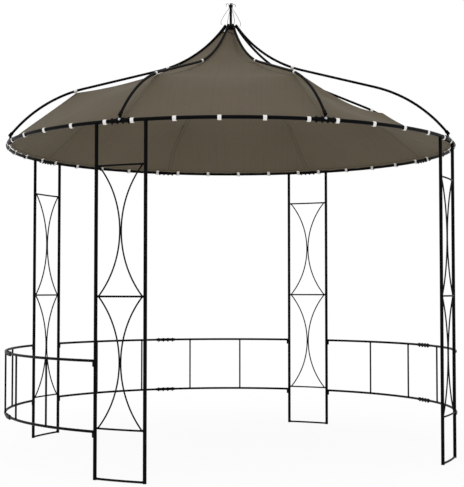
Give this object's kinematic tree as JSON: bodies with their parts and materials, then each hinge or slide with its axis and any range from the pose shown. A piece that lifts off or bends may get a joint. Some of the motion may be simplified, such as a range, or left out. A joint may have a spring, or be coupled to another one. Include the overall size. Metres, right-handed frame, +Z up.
{
  "type": "round gazebo",
  "caption": "Round garden gazebo: tubular steel legs with scroll panels carry an eave ring, ogee rafters, a finial and a fabric canopy, with low fences and an open entrance.",
  "frame": {"origin": "on the ground at the centre of the gazebo's plan", "axes": "+Z up, -Y towards the open entrance, +X to the right of someone who looks in through the entrance from outside"},
  "size_m": [3.0098, 3.0098, 3.018],
  "materials": {
    "frame": "satin powder coat, near black",
    "canopy": "matt woven polyester, taupe",
    "ties": "woven webbing straps, off-white"
  },
  "bodies": {
    "root": {"leg_front_left": "frame", "leg_front_right": "frame", "leg_back_right": "frame", "leg_back_left": "frame", "leg_scrolls_front_left": "frame", "leg_scrolls_front_right": "frame", "leg_scrolls_back_right": "frame", "leg_scrolls_back_left": "frame", "eave_rail_1": "frame", "eave_rail_2": "frame", "eave_rail_3": "frame", "eave_rail_4": "frame", "eave_rail_5": "frame", "eave_rail_6": "frame", "eave_rail_7": "frame", "eave_rail_8": "frame", "eave_coupler_1": "frame", "eave_coupler_2": "frame", "eave_coupler_3": "frame", "eave_coupler_4": "frame", "eave_coupler_5": "frame", "eave_coupler_6": "frame", "eave_coupler_7": "frame", "eave_coupler_8": "frame", "rafter_1": "frame", "rafter_2": "frame", "rafter_3": "frame", "rafter_4": "frame", "rafter_5": "frame", "rafter_6": "frame", "rafter_7": "frame", "rafter_8": "frame", "crown_hub": "frame", "finial": "frame", "finial_scrolls": "frame", "canopy": "canopy", "canopy_ties": "ties", "fence_right_a": "frame", "fence_right_b": "frame", "fence_back_a": "frame", "fence_back_b": "frame", "fence_left_a": "frame", "fence_left_b": "frame", "fence_couplers": "frame"}
  },
  "joints": []
}
